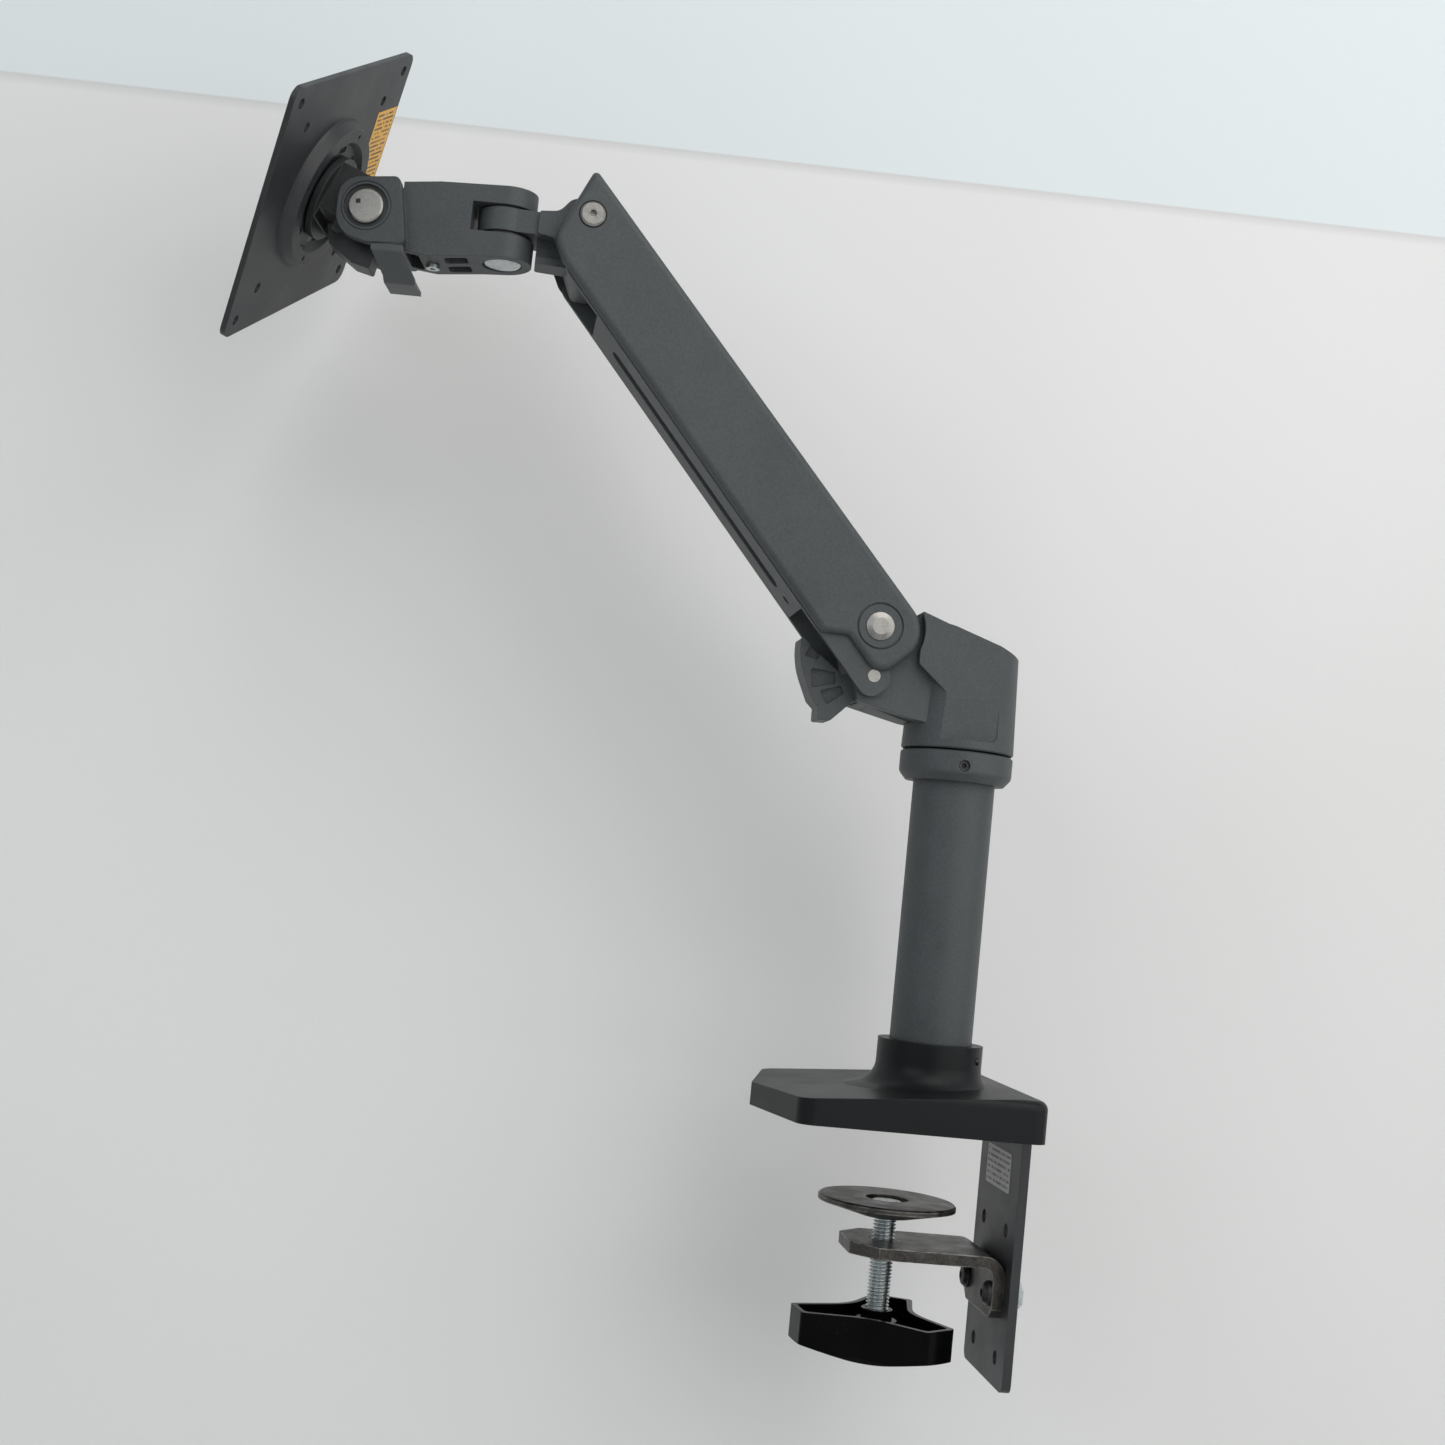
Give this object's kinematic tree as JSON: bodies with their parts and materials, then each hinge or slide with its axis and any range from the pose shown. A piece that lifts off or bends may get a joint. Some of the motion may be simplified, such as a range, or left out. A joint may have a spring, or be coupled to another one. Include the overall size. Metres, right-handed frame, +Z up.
{
  "type": "monitor arm",
  "caption": "Desk-clamp monitor arm with a pole, a sprung parallelogram arm, a panning and tilting head and a rotating square screen plate.",
  "frame": {"origin": "on the pole's axis at the desk surface, on the underside of the base pad", "axes": "+Z up along the pole, -X forward towards the screen, +Y to the far side"},
  "size_m": [0.3836, 0.1557, 0.5563],
  "materials": {
    "grey_casting": "fine textured powder coat",
    "black_coated_steel": "black powder-coated sheet steel",
    "black_casting": "black coated casting",
    "black_cover": "satin moulded plastic",
    "black_knob": "glossy moulded plastic",
    "dark_steel": "dark phosphated steel with worn edges",
    "zinc_steel": "zinc plated",
    "black_screw": "black oxide screws",
    "satin_nickel": "satin nickel turned faces",
    "spring_steel": "oiled spring wire",
    "bearing_plastic": "black acetal bearing plastic",
    "turned_steel": "turned steel",
    "rubber_sheet": "closed-cell rubber sheet",
    "clip_grey": "coated sprung strip",
    "label_white": "printed label, bars only",
    "label_orange": "plain orange sticker"
  },
  "bodies": {
    "base": {"base_pad": "rubber_sheet", "base_plate": "black_coated_steel", "cover_near": "black_cover", "cover_far": "black_cover", "cover_screws": "black_screw", "pole_tube": "grey_casting", "pole_foot": "turned_steel", "pole_bolt": "zinc_steel", "pole_insert": "turned_steel", "collar": "grey_casting", "collar_set_screw": "black_screw", "clamp_spine": "black_coated_steel", "spine_screws": "black_screw", "spec_label": "label_white", "clamp_bracket": "dark_steel", "bracket_bolts": "black_screw", "bracket_nuts": "zinc_steel", "clamp_nut": "dark_steel"},
    "foot": {"foot_disc": "dark_steel", "foot_rivet": "zinc_steel"},
    "screw": {"clamp_screw": "zinc_steel", "clamp_knob": "black_knob"},
    "hub": {"hub_casting": "grey_casting", "hub_bushes": "bearing_plastic", "slip_washer": "bearing_plastic", "fan_guard": "grey_casting", "pivot_axle": "satin_nickel", "friction_washers": "bearing_plastic", "lower_pivot_pin": "satin_nickel"},
    "arm": {"upper_link": "grey_casting", "pivot_caps": "satin_nickel", "lift_spring": "spring_steel", "spring_rod": "zinc_steel", "spring_stop": "turned_steel", "spring_block": "turned_steel", "adjuster_screw": "zinc_steel"},
    "lower_arm": {"lower_link": "grey_casting"},
    "wrist": {"wrist_bracket": "grey_casting", "wrist_screws": "satin_nickel", "wrist_pin": "satin_nickel"},
    "head": {"head_arm": "grey_casting", "pan_pin": "zinc_steel", "pan_washers": "bearing_plastic", "head_screw": "zinc_steel", "tilt_axle": "satin_nickel", "tilt_caps": "satin_nickel", "cable_clip": "clip_grey"},
    "tilt": {"tilt_block": "black_casting", "tilt_washers": "bearing_plastic", "swivel_bolt": "zinc_steel"},
    "plate": {"vesa_plate": "black_coated_steel", "swivel_washer": "bearing_plastic", "swivel_retainer": "zinc_steel", "plate_label": "label_orange"}
  },
  "joints": [
    {"name": "clamp_travel", "type": "slide", "parent": "base", "child": "foot", "axis": [0, 0, 1], "range_m": [-0.009, 0.018]},
    {"name": "clamp_screw_turn", "type": "hinge", "parent": "foot", "child": "screw", "pos_m": [-0.0128, 0, 0], "axis": [0, 0, 1], "range_deg": [-2165, 4325]},
    {"name": "shoulder_pan", "type": "hinge", "parent": "base", "child": "hub", "pos_m": [0, 0, 0.17], "axis": [0, 0, 1], "continuous": true},
    {"name": "arm_lift", "type": "hinge", "parent": "hub", "child": "arm", "pos_m": [-0.0441, 0, 0.2107], "axis": [0, 1, 0], "range_deg": [-75, 3]},
    {"name": "lower_link_swing", "type": "hinge", "parent": "hub", "child": "lower_arm", "pos_m": [-0.0441, 0, 0.1894], "axis": [0, 1, 0], "range_deg": [-76, 4]},
    {"name": "wrist_level", "type": "hinge", "parent": "arm", "child": "wrist", "pos_m": [-0.18596, 0, 0.37332], "axis": [0, 1, 0], "range_deg": [-4, 76]},
    {"name": "wrist_pan", "type": "hinge", "parent": "wrist", "child": "head", "pos_m": [-0.22256, 0, 0.37332], "axis": [0, 0, 1], "range_deg": [-77.5, 92.5]},
    {"name": "head_tilt", "type": "hinge", "parent": "head", "child": "tilt", "pos_m": [-0.28007, 0.00757, 0.36682], "axis": [0.1305, 0.9914, 0], "range_deg": [-27.7, 47.3]},
    {"name": "plate_roll", "type": "hinge", "parent": "tilt", "child": "plate", "pos_m": [-0.30677, 0.01109, 0.37809], "axis": [-0.9146, 0.1204, 0.3859], "continuous": true}
  ],
  "couplings": [
    {"joint": "lower_link_swing", "follows": "arm_lift", "ratio": 1},
    {"joint": "wrist_level", "follows": "arm_lift", "ratio": -1},
    {"joint": "clamp_screw_turn", "follows": "clamp_travel", "rad_per_m": 4188.8}
  ]
}
